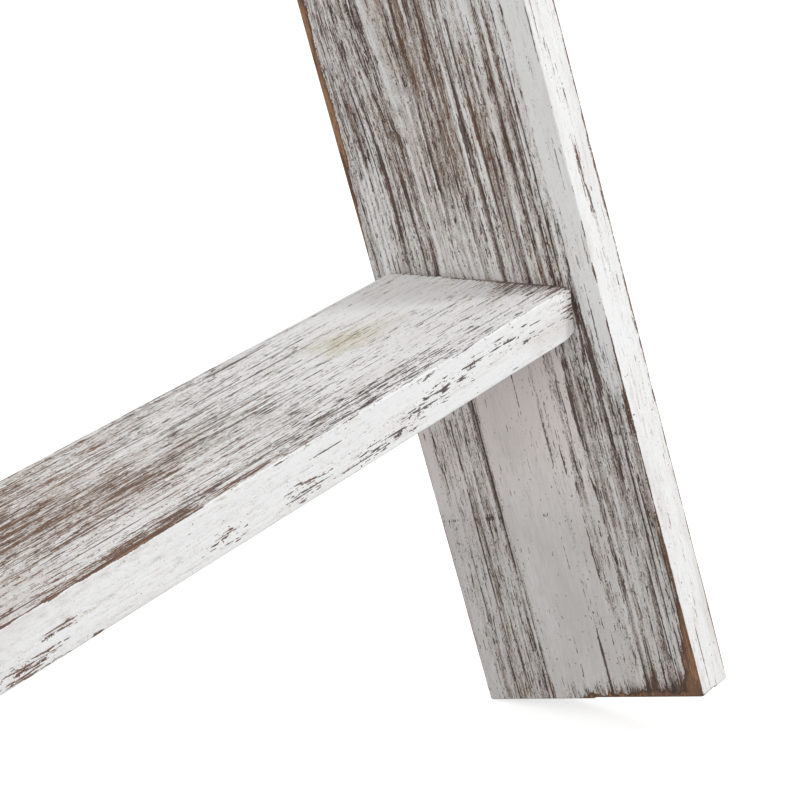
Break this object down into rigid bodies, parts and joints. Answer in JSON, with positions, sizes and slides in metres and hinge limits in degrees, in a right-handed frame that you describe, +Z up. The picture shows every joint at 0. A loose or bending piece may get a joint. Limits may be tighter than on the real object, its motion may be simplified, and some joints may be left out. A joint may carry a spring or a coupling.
{
  "type": "leaning quilt rack",
  "caption": "Wooden ladder rack that leans on a wall, with flat rungs between flat side rails, for hanging quilts and blankets.",
  "frame": {"origin": "on the floor, in the middle of the space that the leaning rack takes up, seen from above", "axes": "+Z up; +X along the rungs to the right-hand rail, seen from the front; +Y back, towards the wall that the rack leans on. The rails lean back 10.5 degrees from +Z, so that the rungs are level"},
  "size_m": [0.45, 0.3616, 1.491],
  "materials": {
    "rail_paint": "thin white paint brushed and sanded through to dark brown wood along the grain, matt",
    "rung_paint": "thin white paint brushed and sanded through to dark brown wood along the grain, matt",
    "screw_steel": "zinc-plated, dull"
  },
  "bodies": {
    "root": {"left_rail": "rail_paint", "right_rail": "rail_paint", "rung_1": "rung_paint", "rung_2": "rung_paint", "rung_3": "rung_paint", "rung_4": "rung_paint", "rung_5": "rung_paint", "screw_1_left_front": "screw_steel", "screw_1_left_back": "screw_steel", "screw_1_right_front": "screw_steel", "screw_1_right_back": "screw_steel", "screw_2_left_front": "screw_steel", "screw_2_left_back": "screw_steel", "screw_2_right_front": "screw_steel", "screw_2_right_back": "screw_steel", "screw_3_left_front": "screw_steel", "screw_3_left_back": "screw_steel", "screw_3_right_front": "screw_steel", "screw_3_right_back": "screw_steel", "screw_4_left_front": "screw_steel", "screw_4_left_back": "screw_steel", "screw_4_right_front": "screw_steel", "screw_4_right_back": "screw_steel", "screw_5_left_front": "screw_steel", "screw_5_left_back": "screw_steel", "screw_5_right_front": "screw_steel", "screw_5_right_back": "screw_steel"}
  },
  "joints": []
}
